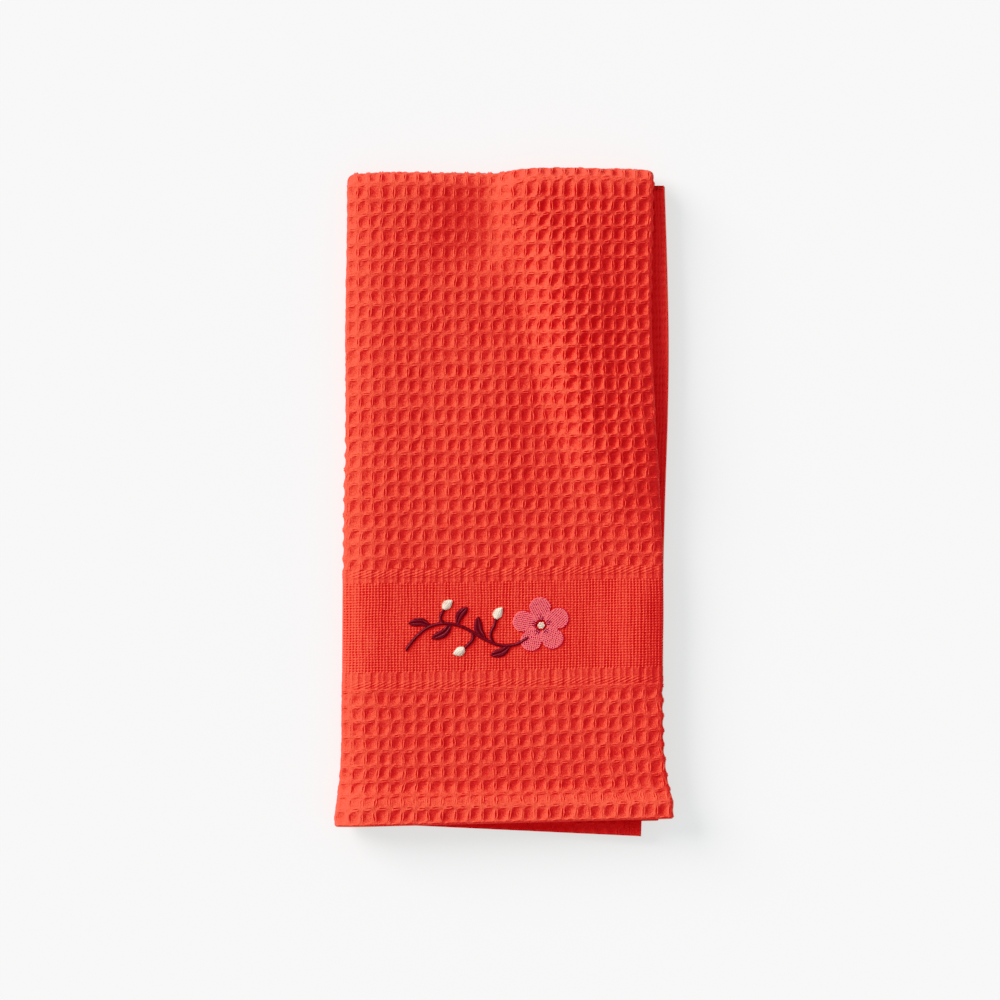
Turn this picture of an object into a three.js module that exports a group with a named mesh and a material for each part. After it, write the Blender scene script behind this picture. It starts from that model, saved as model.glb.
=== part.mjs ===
// Kitchen towel of waffle-woven cotton, folded in thirds across its width and then in half along
// its length, lying flat.
//
// The cloth is one closed sheet. Its section runs back and forth through three layers: the tucked
// third, the outer third, which shows, and the inner third, whose selvedge stands out at the right.
// That section is carried from the front hem up to the half fold, round it, and down the back to
// the other hem, so that six layers lie on each other, a little apart.
//
// Millimetres. +Z is up and the underside lies at z = 0. +Y points at the half fold. The origin is
// under the middle of the outline.

import * as THREE from 'three';

// The cloth, and the heights of the three layers above the middle of the folded stack
const CLOTH = 2.2;
const GAP = 0.6;
const PITCH = CLOTH + GAP;
const INNER = PITCH / 2;
const TUCKED = INNER + PITCH;
const OUTER = TUCKED + PITCH;

// Folds along the sides. The outer layer sinks towards the left fold, because the tucked third's
// selvedge stops short of it and leaves fewer layers there.
const EDGE_DROP = 2.1;
const EDGE_WIDTH = 21;
const TUCKED_INSET = 19;
const LEFT_RADIUS = (OUTER - EDGE_DROP - INNER) / 2;
const RIGHT_RADIUS = (OUTER - TUCKED) / 2;

// The half fold is loose: it stands out further than it is high. Its top edge climbs to the right.
const FOLD_REACH = 1.4;
const TOP_Y = 177.7;
const TOP_CLIMB = 0.006;

// The hems are turned twice and sewn, which makes the stack loftier at its foot
const HEM_TOP_Y = -147;
const HEM_RUN_IN = 15;
const HEM_LOFT = 0.2;

// The outline from above, down the front and down the back: both side folds and the free selvedge
// of the inner third
const FRONT = [
  { y: 168, left: -84.0, right: 80.3, selvedge: 86.2 },
  { y: 119, left: -84.6, right: 79.4, selvedge: 87.7 },
  { y: 82, left: -85.1, right: 79.4, selvedge: 88.3 },
  { y: 44, left: -85.1, right: 80.8, selvedge: 87.7 },
  { y: 0, left: -86.3, right: 83.5, selvedge: 86.3 },
  { y: -31, left: -86.7, right: 85.3, selvedge: 85.6 },
  { y: -106, left: -87.2, right: 85.6, selvedge: 83.5 },
  { y: -138, left: -87.5, right: 86.8, selvedge: 82.5 },
  { y: -149, left: -88.2, right: 88.3, selvedge: 82.2 },
  { y: -159, left: -89.7, right: 90.1, selvedge: 82.0 },
  { y: -174, left: -90.5, right: 90.5, selvedge: 81.5 },
];
const BACK = [
  { y: 168, left: -84.0, right: 80.3, selvedge: 86.2 },
  { y: 80, left: -84.8, right: 80.6, selvedge: 82.9 },
  { y: -150, left: -87.0, right: 82.5, selvedge: 74.6 },
  { y: -179, left: -88.0, right: 84.0, selvedge: 73.6 },
];

// Where the hems end, front and back, at the edges and folds that the section passes in turn
const HEMS = [
  { at: 'tucked selvedge', front: -171.0, back: -173.5 },
  { at: 'right fold', front: -169.1, back: -171.0 },
  { at: 'left fold', front: -173.7, back: -171.6 },
  { at: 'inner selvedge', front: -168.0, back: -179.1 },
];

// The stretches of the section, with the rows of HEMS at which each starts and stops
const STRETCHES = [
  { name: 'tucked third', steps: 7, from: 0, to: 1 },
  { name: 'right fold', steps: 5, from: 1, to: 1 },
  { name: 'outer third', steps: 20, from: 1, to: 2 },
  { name: 'left fold', steps: 6, from: 2, to: 2 },
  { name: 'inner third', steps: 9, from: 2, to: 3 },
];

// Soft swells of the front: the crest runs from top to foot, with a flank on each side of it
const SWELLS = [
  { name: 'slanting ridge', topX: 4.6, topY: 190, footX: 62.4, footY: -12, left: 26, right: 55, rise: 5.0 },
  { name: 'hollow beside it', topX: -24, topY: 190, footX: -8, footY: 100, left: 15, right: 15, rise: -0.7 },
  { name: 'lift of the border', topX: 64, topY: -36, footX: 66, footY: -112, left: 22, right: 22, rise: 0.8 },
];
const CREST_FADE = 0.35; // share of a crest's length over which it dies away at its foot
const FOLD_FADE = 3; // how fast the swells die away round the half fold

// Levels along the cloth: even steps down each half, with closer ones near the hem and in the fold
const BODY_STEPS = 10;
const HEM_STEPS = 4;
const BODY_SHARE = 0.9;
const FOLD_STEPS = 9;

const smooth = (t) => {
  const c = THREE.MathUtils.clamp(t, 0, 1);
  return c * c * (3 - 2 * c);
};
const blend = THREE.MathUtils.lerp;

// A column of an outline at the height y, on a smooth curve through its rows
function outlineAt(rows, column, y) {
  const last = rows.length - 1;
  if (y >= rows[0].y) return rows[0][column];
  if (y <= rows[last].y) return rows[last][column];
  const i = rows.findIndex((row) => row.y < y) - 1;
  const slope = (k) => {
    const above = rows[Math.max(k - 1, 0)];
    const below = rows[Math.min(k + 1, last)];
    return (below[column] - above[column]) / (below.y - above.y);
  };
  const span = rows[i + 1].y - rows[i].y;
  const t = (y - rows[i].y) / span;
  const ease = smooth(t);
  const bend = t * (1 - t) * span;
  const straight = blend(rows[i][column], rows[i + 1][column], ease);
  return straight + bend * ((1 - t) * slope(i) - t * slope(i + 1));
}

// Height of a swell's surface over the plain stack at x, y
function swellAt(swell, x, y) {
  const up = (y - swell.footY) / (swell.topY - swell.footY);
  const crest = blend(swell.footX, swell.topX, up);
  const flank = x < crest ? swell.left : swell.right;
  const across = Math.min(Math.abs(x - crest) / flank, 1);
  const foot = smooth(up / CREST_FADE);
  const head = smooth((1 - up) / CREST_FADE + (swell.topY > TOP_Y ? 1 : 0));
  return swell.rise * foot * head * 0.5 * (1 + Math.cos(Math.PI * across));
}

const swells = (x, y) => SWELLS.reduce((sum, swell) => sum + swellAt(swell, x, y), 0);

// Height of the outer layer above the middle of the stack, at a distance from the left fold's centre
const outerHeight = (inset) => OUTER - EDGE_DROP * (1 - smooth(inset / EDGE_WIDTH));

// The middle of the cloth at a share t of a stretch, as a place across and a height
function middleAt(stretch, t, edges) {
  const leftCentre = edges.left + CLOTH / 2 + LEFT_RADIUS;
  const rightCentre = edges.right - CLOTH / 2 - RIGHT_RADIUS;
  const turn = Math.PI * t;
  switch (stretch.name) {
    case 'tucked third':
      return { x: blend(leftCentre + TUCKED_INSET, rightCentre, t), h: TUCKED };
    case 'right fold':
      return {
        x: rightCentre + RIGHT_RADIUS * Math.sin(turn),
        h: TUCKED + RIGHT_RADIUS * (1 - Math.cos(turn)),
      };
    case 'outer third': {
      const x = blend(rightCentre, leftCentre, t);
      return { x, h: outerHeight(x - leftCentre) };
    }
    case 'left fold':
      return {
        x: leftCentre - LEFT_RADIUS * Math.sin(turn),
        h: INNER + LEFT_RADIUS * (1 + Math.cos(turn)),
      };
    default:
      return { x: blend(leftCentre, edges.selvedge, t), h: INNER };
  }
}

// One level of the cloth: how far the half fold has turned, and how far down the half it lies
function levels() {
  const half = [];
  for (let i = 0; i < BODY_STEPS; i++) half.push((i / BODY_STEPS) * BODY_SHARE);
  for (let i = 0; i <= HEM_STEPS; i++) half.push(blend(BODY_SHARE, 1, i / HEM_STEPS));
  const front = half.map((down) => ({ turn: 0, down })).reverse();
  const back = half.map((down) => ({ turn: Math.PI, down }));
  const fold = [];
  for (let i = 1; i < FOLD_STEPS; i++) fold.push({ turn: (Math.PI * i) / FOLD_STEPS, down: 0 });
  return [...front, ...fold, ...back];
}

// The middle of the cloth at every step of the section, at one level
function sectionAt(level) {
  const isFront = level.turn < Math.PI / 2;
  const rows = isFront ? FRONT : BACK;
  const end = isFront ? 'front' : 'back';
  const foldY = TOP_Y - FOLD_REACH * (OUTER + CLOTH / 2);
  const points = [];
  STRETCHES.forEach((stretch, k) => {
    for (let i = k ? 1 : 0; i <= stretch.steps; i++) {
      const t = i / stretch.steps;
      const hem = blend(HEMS[stretch.from][end], HEMS[stretch.to][end], t);
      const y = blend(foldY, hem, level.down);
      const edges = {
        left: outlineAt(rows, 'left', y),
        right: outlineAt(rows, 'right', y),
        selvedge: outlineAt(rows, 'selvedge', y),
      };
      points.push({ ...middleAt(stretch, t, edges), y, edges });
    }
  });
  return points;
}

// A point of the section, at its height h above the middle of the stack, set in its place in space
function inSpace(x, h, point, level) {
  const inset = x - point.edges.left - CLOTH / 2 - LEFT_RADIUS;
  const loft = 1 + HEM_LOFT * smooth((HEM_TOP_Y - point.y) / HEM_RUN_IN);
  const middle = loft * (outerHeight(inset) + CLOTH / 2);
  const share = ((1 + Math.cos(level.turn)) / 2) ** FOLD_FADE;
  const lifted = h * (1 + (share * swells(x, point.y)) / OUTER);
  const y = point.y + TOP_CLIMB * x * (1 - level.down) + FOLD_REACH * lifted * Math.sin(level.turn);
  const z = middle + loft * lifted * Math.cos(level.turn);
  return new THREE.Vector3(x, y, Math.max(z, 0));
}

// The loop round the cloth at one level: out along one face and back along the other
function loopAt(level) {
  const points = sectionAt(level);
  const faces = [[], []];
  points.forEach((point, i) => {
    const before = points[Math.max(i - 1, 0)];
    const after = points[Math.min(i + 1, points.length - 1)];
    const along = new THREE.Vector2(after.x - before.x, after.h - before.h).normalize();
    const off = CLOTH / 2;
    faces[0].push(inSpace(point.x - along.y * off, point.h + along.x * off, point, level));
    faces[1].push(inSpace(point.x + along.y * off, point.h - along.x * off, point, level));
  });
  return [...faces[0], ...faces[1].reverse()];
}

// The closed sheet: loops joined in turn, and the two hems closed between the faces of the cloth
function towelGeometry() {
  const loops = levels().map(loopAt);
  const size = loops[0].length;
  const index = [];
  const quad = (a, b, c, d) => index.push(a, b, c, a, c, d);
  for (let k = 0; k + 1 < loops.length; k++) {
    for (let i = 0; i < size; i++) {
      const j = (i + 1) % size;
      quad(k * size + i, k * size + j, (k + 1) * size + j, (k + 1) * size + i);
    }
  }
  const last = (loops.length - 1) * size;
  for (let i = 0; i + 1 < size / 2; i++) {
    const across = size - 1 - i;
    quad(i, across, across - 1, i + 1);
    quad(last + i, last + i + 1, last + across - 1, last + across);
  }
  const geometry = new THREE.BufferGeometry().setFromPoints(loops.flat());
  geometry.setIndex(index);
  geometry.computeVertexNormals();
  return geometry;
}

const cotton = new THREE.MeshStandardMaterial({ color: 0xe0392e, roughness: 0.95, metalness: 0 });
const cloth = new THREE.Mesh(towelGeometry(), cotton);
cloth.name = 'towel_cloth';

const towel = new THREE.Group();
towel.add(cloth);

export default towel;
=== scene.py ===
# %% [markdown]
# # A folded waffle towel
#
# This lesson dresses a kitchen towel that is already folded. The frame gives the folded cloth as one
# plain solid at its real size: folded in thirds across its width, then in half along its length.
# The script lays a woven cloth along the same folds, with every waffle cell as a real hollow, then
# adds the plain border, the hems, the selvedges and a small embroidered sprig.
#
# The frame is loaded first, because every piece is placed by it. Its box also sets the height of the floor.
# Lengths in this script are in millimetres, and `MM` turns them into Blender's metres.

# %% Load the frame
import math

import bpy
import numpy as np
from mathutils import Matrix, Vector


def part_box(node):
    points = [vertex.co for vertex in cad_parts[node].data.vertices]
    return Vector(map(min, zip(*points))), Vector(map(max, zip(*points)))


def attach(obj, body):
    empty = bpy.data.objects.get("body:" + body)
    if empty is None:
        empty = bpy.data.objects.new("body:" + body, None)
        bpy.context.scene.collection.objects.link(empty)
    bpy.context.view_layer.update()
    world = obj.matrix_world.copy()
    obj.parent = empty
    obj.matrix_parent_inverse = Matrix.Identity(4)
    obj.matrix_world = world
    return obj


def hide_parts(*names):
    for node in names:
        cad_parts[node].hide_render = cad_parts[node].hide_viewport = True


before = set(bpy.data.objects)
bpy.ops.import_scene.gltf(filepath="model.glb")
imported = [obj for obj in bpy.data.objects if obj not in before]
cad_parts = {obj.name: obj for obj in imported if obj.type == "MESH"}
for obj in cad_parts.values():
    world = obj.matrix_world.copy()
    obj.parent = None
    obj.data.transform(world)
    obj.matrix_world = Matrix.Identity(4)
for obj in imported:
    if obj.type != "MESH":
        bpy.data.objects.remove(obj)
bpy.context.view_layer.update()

MM = 0.001
scene = bpy.context.scene
cloth_low, cloth_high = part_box("towel_cloth")
print("cloth from", [round(c, 4) for c in cloth_low], "to", [round(c, 4) for c in cloth_high])

# %% [markdown]
# ## The camera
#
# The picture looks straight down, from far enough away that the towel's sides hardly show. A long
# lens on a high camera gives that, and keeps the usual perspective, which a flat projection would
# lose in the other views. The width of the field is a real size: what the picture takes in at the
# height of the towel's upper face.

# %% Place the camera
FIELD = 535.0
CAMERA_HEIGHT = 2400.0
FACE_HEIGHT = 14.0
PICTURE_MIDDLE = (-2.1, 1.3)
SENSOR = 36.0
FAR_CLIP = 20000.0


def place_camera():
    data = bpy.data.cameras.new("camera")
    data.sensor_width = SENSOR
    data.lens = SENSOR * (CAMERA_HEIGHT - FACE_HEIGHT) / FIELD
    data.clip_end = FAR_CLIP * MM
    camera = bpy.data.objects.new("camera", data)
    camera.location = (PICTURE_MIDDLE[0] * MM, PICTURE_MIDDLE[1] * MM, CAMERA_HEIGHT * MM)
    scene.collection.objects.link(camera)
    scene.camera = camera
    return camera


camera = place_camera()
print("lens", round(camera.data.lens, 1), "mm")

# %% [markdown]
# ## Light and floor
#
# The towel lies in soft daylight from the upper left. An area lamp would light the floor unevenly,
# so the key light is a sun with a very wide disc: it gives a broad soft edge to the shadow and the
# same brightness everywhere. The rest comes from an even white sky.
#
# The floor glows a little. A pale studio table is lit from all around, and this keeps the towel's
# shadow on it as faint as it is there, without flattening the light on the cloth itself. The paper
# and its glow have slightly different tints. Together they are a plain grey, both in the open and in
# the towel's shade, where its red would otherwise tint the floor.

# %% Light the studio
# The direction that the light comes from, the width of its disc in degrees, and its strength
KEY_FROM = Vector((-0.83, 0.55, 0.53))
KEY_WIDTH = 36.0
KEY_STRENGTH = 3.65
KEY_COLOUR = (1.0, 1.03, 0.96)
SKY_STRENGTH = 0.515
SKY_COLOUR = (1.0, 0.90, 1.0, 1.0)
FLOOR_SIZE = 8000.0
FLOOR_GAP = 0.2
FLOOR_GLOW = 0.64
FLOOR_TINT = (0.405, 0.34, 0.362, 1.0)
GLOW_TINT = (0.88, 1.0, 0.958, 1.0)


def light_studio():
    sun = bpy.data.lights.new("key", "SUN")
    sun.energy = KEY_STRENGTH
    sun.angle = math.radians(KEY_WIDTH)
    sun.color = KEY_COLOUR
    key = bpy.data.objects.new("key", sun)
    key.rotation_euler = KEY_FROM.to_track_quat("Z", "Y").to_euler()
    scene.collection.objects.link(key)
    world = bpy.data.worlds.new("sky")
    world.use_nodes = True
    world.node_tree.nodes["Background"].inputs["Color"].default_value = SKY_COLOUR
    world.node_tree.nodes["Background"].inputs["Strength"].default_value = SKY_STRENGTH
    scene.world = world


def lay_floor():
    half = FLOOR_SIZE * MM / 2
    mesh = bpy.data.meshes.new("floor")
    corners = [(-half, -half, 0), (half, -half, 0), (half, half, 0), (-half, half, 0)]
    mesh.from_pydata(corners, [], [(0, 1, 2, 3)])
    floor = bpy.data.objects.new("floor", mesh)
    floor.location.z = cloth_low[2] - FLOOR_GAP * MM
    scene.collection.objects.link(floor)
    paper = bpy.data.materials.new("floor_paper")
    paper.use_nodes = True
    shader = paper.node_tree.nodes["Principled BSDF"]
    shader.inputs["Base Color"].default_value = FLOOR_TINT
    shader.inputs["Roughness"].default_value = 1.0
    shader.inputs["Specular IOR Level"].default_value = 0.0
    shader.inputs["Emission Color"].default_value = GLOW_TINT
    shader.inputs["Emission Strength"].default_value = FLOOR_GLOW
    mesh.materials.append(paper)
    return floor


light_studio()
lay_floor()
print("sun", KEY_STRENGTH, "sky", SKY_STRENGTH)

# %% [markdown]
# ### The tones of the picture
#
# A camera gives a deep red more contrast than a plain render does: its small share of green and blue
# falls away fast in the shade and comes up fast in the light, which is why the folds look so deep and
# the ridges glow. The colour management has a curve for each colour, and these do the same. All of
# them stay close to the straight line in the light tones, so white stays white.

# %% The curves of the picture
# Each pair is the light that falls and the tone that shows, for red, green and blue in turn
LIGHT_TONES = ((0.3, 0.35), (0.5, 0.53), (0.75, 0.74), (0.9, 0.87), (1.0, 0.945))
TONE_CURVES = (
    ((0.0, 0.0), (0.15, 0.185), *LIGHT_TONES),
    ((0.0, 0.0), (0.015, 0.0030), (0.03, 0.0108), (0.04, 0.0210), (0.05, 0.0415), (0.06, 0.0710),
     (0.07, 0.100), (0.09, 0.140), (0.15, 0.200), *LIGHT_TONES),
    ((0.0, 0.0), (0.015, 0.0038), (0.0273, 0.0104), (0.0414, 0.0216), (0.0455, 0.0285), (0.0543, 0.0430),
     (0.0607, 0.0545), (0.08, 0.086), (0.15, 0.175), *LIGHT_TONES),
)


def bend_tones():
    view = scene.view_settings
    view.view_transform = "Standard"
    view.use_curve_mapping = True
    for curve, places in zip(view.curve_mapping.curves, TONE_CURVES):
        while len(curve.points) < len(places):
            curve.points.new(0.5, 0.5)
        for point, place in zip(curve.points, places):
            point.location = place
            point.handle_type = "AUTO_CLAMPED"
    view.curve_mapping.update()


bend_tones()
print("a tone curve for each of", len(TONE_CURVES), "colours")

# %% [markdown]
# ## How the towel is folded
#
# A towel of 50 by 70 cm is folded in thirds, like a letter, and then in half. A simulation could fold
# it, but the result would be hard to steer. Here the fold is a rule instead: every point of the flat
# cloth has a place `across` it and `along` it, in millimetres, and the rule says where that point
# ends up. The rule has the outline and the layers of the frame's solid, so the two agree. Only the
# ridge, the swells and the rounding of the folds go further than the solid does.
#
# The section comes first. Seen from the hem, the cloth runs through the tucked third, round the right
# fold, back over the outer third, round the left fold, and out again along the inner third.

# %% Sizes of the fold
CLOTH = 2.2
GAP = 0.6
PITCH = CLOTH + GAP
INNER = PITCH / 2
TUCKED = INNER + PITCH
OUTER = TUCKED + PITCH
EDGE_DROP = 1.85
EDGE_WIDTH = 21.0
EDGE_ROUND = 2.5
RIGHT_DROP = 0.5
RIGHT_WIDTH = 9.0
TUCKED_INSET = 19.0
LEFT_RADIUS = (OUTER - EDGE_DROP - INNER) / 2
RIGHT_RADIUS = (OUTER - RIGHT_DROP - TUCKED) / 2

# Where each stretch of the section starts, counted across the cloth from the tucked selvedge
RIGHT_FOLD = 152.0
OUTER_THIRD = 157.0
LEFT_FOLD = 320.5
INNER_THIRD = 327.0
WIDTH = 500.0

# The same along the cloth, from the front hem: the half fold lies between the two halves
FOLD_START = 340.0
FOLD_END = 371.0
LENGTH = 711.0
FOLD_REACH = 1.4
TOP_Y = 177.7
TOP_CLIMB = 0.006
FOLD_Y = TOP_Y - FOLD_REACH * (OUTER + CLOTH / 2)

# The hems are turned twice and sewn, which lifts the stack at its foot
HEM_TOP_Y = -151.0
HEM_RUN_IN = 12.0
HEM_LOFT = 0.18


def smooth(t):
    t = np.clip(t, 0.0, 1.0)
    return t * t * (3 - 2 * t)


def blend(a, b, t):
    return a + (b - a) * t


def half_wave(turn):
    """1 at no turn, falling softly to 0 at half a turn."""
    return 0.5 * (1 + np.cos(turn))


print("six layers are", round(2 * (OUTER + CLOTH / 2), 1), "mm high")

# %% [markdown]
# ### The outline
#
# Nobody folds a towel dead straight. These rows hold the two side folds and the free selvedge of the
# inner third, at a few heights down the front and down the back. A smooth curve runs through each
# column. The hems end at a slightly different place in each layer, so they have rows of their own.

# %% Rows of the outline
OUTLINE_COLUMNS = ("y", "left", "right", "selvedge")
FRONT = np.array([
    (168, -84.0, 80.3, 86.2),
    (119, -84.6, 79.4, 87.7),
    (82, -85.1, 79.4, 88.3),
    (44, -85.1, 80.8, 87.7),
    (0, -86.3, 83.5, 86.3),
    (-31, -86.7, 85.3, 85.6),
    (-106, -87.2, 85.6, 83.5),
    (-138, -87.5, 86.8, 82.5),
    (-149, -88.2, 88.3, 82.2),
    (-159, -89.7, 90.1, 82.0),
    (-174, -90.5, 90.5, 81.5),
])
BACK = np.array([
    (168, -84.0, 80.3, 86.2),
    (80, -84.8, 80.6, 82.9),
    (-150, -87.0, 82.5, 74.6),
    (-179, -88.0, 84.0, 73.6),
])
HEM_ACROSS = (0.0, RIGHT_FOLD, OUTER_THIRD, LEFT_FOLD, INNER_THIRD, WIDTH)
HEM_FRONT = (-171.0, -169.1, -169.1, -173.7, -173.7, -168.0)
HEM_BACK = (-173.5, -171.0, -171.0, -171.6, -171.6, -179.1)


def column_at(rows, names, name, y):
    """One named column of the rows at each height y, on a smooth curve through them."""
    heights = rows[:, 0]
    values = rows[:, names.index(name)]
    slopes = np.gradient(values, heights)
    above = np.clip(np.searchsorted(-heights, -y, side="right") - 1, 0, len(rows) - 2)
    span = heights[above + 1] - heights[above]
    t = np.clip((y - heights[above]) / span, 0.0, 1.0)
    straight = blend(values[above], values[above + 1], smooth(t))
    bend = t * (1 - t) * span
    return straight + bend * ((1 - t) * slopes[above] - t * slopes[above + 1])


probe = np.array([150.0, 60.0, -160.0])
print("right fold at", probe, "is", column_at(FRONT, OUTLINE_COLUMNS, "right", probe).round(1))

# %% [markdown]
# ### Soft ridges
#
# The front isn't flat: a soft ridge slants down it from the half fold, where the layers below have
# shifted, and there is a shallow hollow beside it. Sculpting would do this too, but a ridge has a
# simple shape: at each height of the towel it has a crest, a flank on each side and a rise. The rows
# give these from the half fold down to where the ridge dies away.

# %% The long ridge
RIDGE_COLUMNS = ("y", "crest", "left", "right", "rise")
RIDGE = np.array([
    (190, 18.0, 30, 110, 4.2),
    (162, 21.5, 31, 100, 4.7),
    (138, 29.5, 31, 66, 5.8),
    (114, 34.0, 29, 52, 6.7),
    (90, 37.0, 28, 48, 7.1),
    (65, 41.0, 26, 50, 7.3),
    (41, 47.5, 25, 46, 6.4),
    (17, 55.0, 23, 40, 4.6),
    (-7, 62.0, 21, 24, 1.1),
    (-25, 68.0, 20, 20, 0.0),
])


def hump(x, crest, left, right):
    """1 on the crest, falling softly to 0 over the flank on each side."""
    flank = np.where(x < crest, left, right)
    return half_wave(np.pi * np.minimum(np.abs(x - crest) / flank, 1.0))


print("the ridge rises up to", RIDGE[:, -1].max(), "mm and ends at y", RIDGE[-1, 0])

# %% [markdown]
# The lesser swells have a straight crest between two points, with the same kind of flanks. They die
# away at both ends, and all of them fade round the half fold. A layer that lies low in the stack is
# lifted by less, and where the cloth climbs a slope it slips sideways a little.

# %% Rows of the lesser swells
SWELL_COLUMNS = ("top_x", "top_y", "foot_x", "foot_y", "left", "right", "rise")
SWELLS = {
    "hollow beside the ridge": (-8, 190, -11, 112, 36, 20, -3.4),
    "broad lift below it": (-4, 95, -2, -25, 42, 24, 1.2),
    "lift beside the border": (72, -30, 70, -112, 24, 16, 1.3),
    "lift by the right fold": (84, 170, 82, -25, 27, 20, 2.2),
}
SWELL_FADE = 0.35
FOLD_FADE = 3
SLIP = 3.0
SLOPE_STEP = 1.0


def swells_at(x, y):
    """How far the ridge and the swells lift the front at each place."""
    ridge = [column_at(RIDGE, RIDGE_COLUMNS, name, y) for name in RIDGE_COLUMNS[1:]]
    total = ridge[3] * hump(x, *ridge[:3])
    for row in SWELLS.values():
        swell = dict(zip(SWELL_COLUMNS, row))
        up = (y - swell["foot_y"]) / (swell["top_y"] - swell["foot_y"])
        crest = blend(swell["foot_x"], swell["top_x"], up)
        starts_past_fold = 1.0 if swell["top_y"] > TOP_Y else 0.0
        ends = smooth(up / SWELL_FADE) * smooth((1 - up) / SWELL_FADE + starts_past_fold)
        total += swell["rise"] * ends * hump(x, crest, swell["left"], swell["right"])
    return total


print("the ridge stands", round(float(swells_at(np.array([25.0]), np.array([110.0]))[0]), 1), "mm up")

# %% [markdown]
# ### From the flat cloth to the fold
#
# `lay` takes places across and along the cloth, and a distance off its middle, and gives points in
# space. It works in two steps, as hands do: first across the section, then over the half fold.

# %% Across the section
FOLD_SHOULDER = 1.2


def outer_height(from_left, from_right):
    """Height of the outer third over the middle of the stack: it rounds off towards both folds."""
    left_share = np.clip(1 - from_left / EDGE_WIDTH, 0.0, FOLD_SHOULDER)
    right_share = np.clip(1 - from_right / RIGHT_WIDTH, 0.0, FOLD_SHOULDER)
    return OUTER - EDGE_DROP * left_share ** EDGE_ROUND - RIGHT_DROP * right_share ** 2


def middle_at(across, edges):
    """The middle of the cloth as a place x and a height h over the middle of the stack."""
    left_centre = edges["left"] + CLOTH / 2 + LEFT_RADIUS
    right_centre = edges["right"] - CLOTH / 2 - RIGHT_RADIUS
    in_tucked = across < RIGHT_FOLD
    in_right = (across >= RIGHT_FOLD) & (across < OUTER_THIRD)
    in_outer = (across >= OUTER_THIRD) & (across < LEFT_FOLD)
    in_left = (across >= LEFT_FOLD) & (across < INNER_THIRD)
    places = [in_tucked, in_right, in_outer, in_left]
    right_turn = np.pi * (across - RIGHT_FOLD) / (OUTER_THIRD - RIGHT_FOLD)
    left_turn = np.pi * (across - LEFT_FOLD) / (INNER_THIRD - LEFT_FOLD)
    outer_share = (across - OUTER_THIRD) / (LEFT_FOLD - OUTER_THIRD)
    inner_share = (across - INNER_THIRD) / (WIDTH - INNER_THIRD)
    x = np.select(places, [
        blend(left_centre + TUCKED_INSET, right_centre, across / RIGHT_FOLD),
        right_centre + RIGHT_RADIUS * np.sin(right_turn),
        blend(right_centre, left_centre, outer_share),
        left_centre - LEFT_RADIUS * np.sin(left_turn),
    ], blend(left_centre, edges["selvedge"], inner_share))
    top = outer_height(x - left_centre, right_centre - x)
    h = np.select(places, [
        np.full_like(x, TUCKED),
        blend(top, TUCKED, half_wave(right_turn)),
        top,
        blend(INNER, top, half_wave(left_turn)),
    ], INNER)
    return x, h, x - left_centre


print("the outer third lies", round(float(outer_height(80.0, 80.0)), 2), "mm over the middle")
print("and at its left fold", round(float(outer_height(0.0, 80.0)), 2))

# %% The rule of the fold
SECTION_STEP = 0.25
FOLD_FILL = 0.9


def lay(across, along, off):
    """Points in space, in millimetres. A positive distance off the middle is to the fold's inside."""
    down = np.where(along < FOLD_START, 1 - along / FOLD_START, (along - FOLD_END) / (LENGTH - FOLD_END))
    down = np.maximum(down, 0.0)
    turn = np.pi * np.clip((along - FOLD_START) / (FOLD_END - FOLD_START), 0.0, 1.0)
    front = turn < np.pi / 2
    front_hem = np.interp(across, HEM_ACROSS, HEM_FRONT)
    back_hem = np.interp(across, HEM_ACROSS, HEM_BACK)
    hem = np.where(front, front_hem, back_hem)
    y = blend(FOLD_Y, hem, down)
    edges = {
        name: np.where(
            front,
            column_at(FRONT, OUTLINE_COLUMNS, name, y),
            column_at(BACK, OUTLINE_COLUMNS, name, y),
        )
        for name in OUTLINE_COLUMNS[1:]
    }
    x, h, inset = middle_at(across, edges)
    x_on, h_on, _ = middle_at(across + SECTION_STEP, edges)
    x_back, h_back, _ = middle_at(across - SECTION_STEP, edges)
    length = np.hypot(x_on - x_back, h_on - h_back)
    x = x - off * (h_on - h_back) / length
    h = h + off * (x_on - x_back) / length
    loft = 1 + HEM_LOFT * smooth((HEM_TOP_Y - y) / HEM_RUN_IN)
    drop = EDGE_DROP * np.clip(1 - inset / EDGE_WIDTH, 0.0, 1.0) ** EDGE_ROUND
    middle = loft * (OUTER - drop + CLOTH / 2)
    share = half_wave(turn) ** FOLD_FADE
    slope = (swells_at(x + SLOPE_STEP, y) - swells_at(x - SLOPE_STEP, y)) / (2 * SLOPE_STEP)
    lifted = h * (1 + share * swells_at(x, y) / OUTER)
    x = x - SLIP * share * slope * h / OUTER
    reach = FOLD_REACH * lifted + FOLD_FILL * drop
    y = y + TOP_CLIMB * x * (1 - down) + reach * np.sin(turn)
    z = middle + loft * lifted * np.cos(turn)
    return np.stack([x, y, np.maximum(z, 0.0)], axis=-1)


corner = lay(np.array([LEFT_FOLD]), np.array([0.0]), np.array([-CLOTH / 2]))
print("front hem at the left fold", corner.round(1))

# %% [markdown]
# ## The weave
#
# Waffle weave is a grid of ribs with a hollow in each cell. Warp threads float over the upright ribs
# and weft threads over the level ones, and both sink towards the middle of the cell, where the cloth
# is plain. On the reverse the hollows and the crossings of the ribs change places.
#
# An image could be used as a displacement map, but a formula is sharper and follows the fold without
# a seam. It needs the place of each point in the grid of cells. The grid isn't quite square to the
# folds, because the towel was folded a little askew to its own threads.

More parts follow.
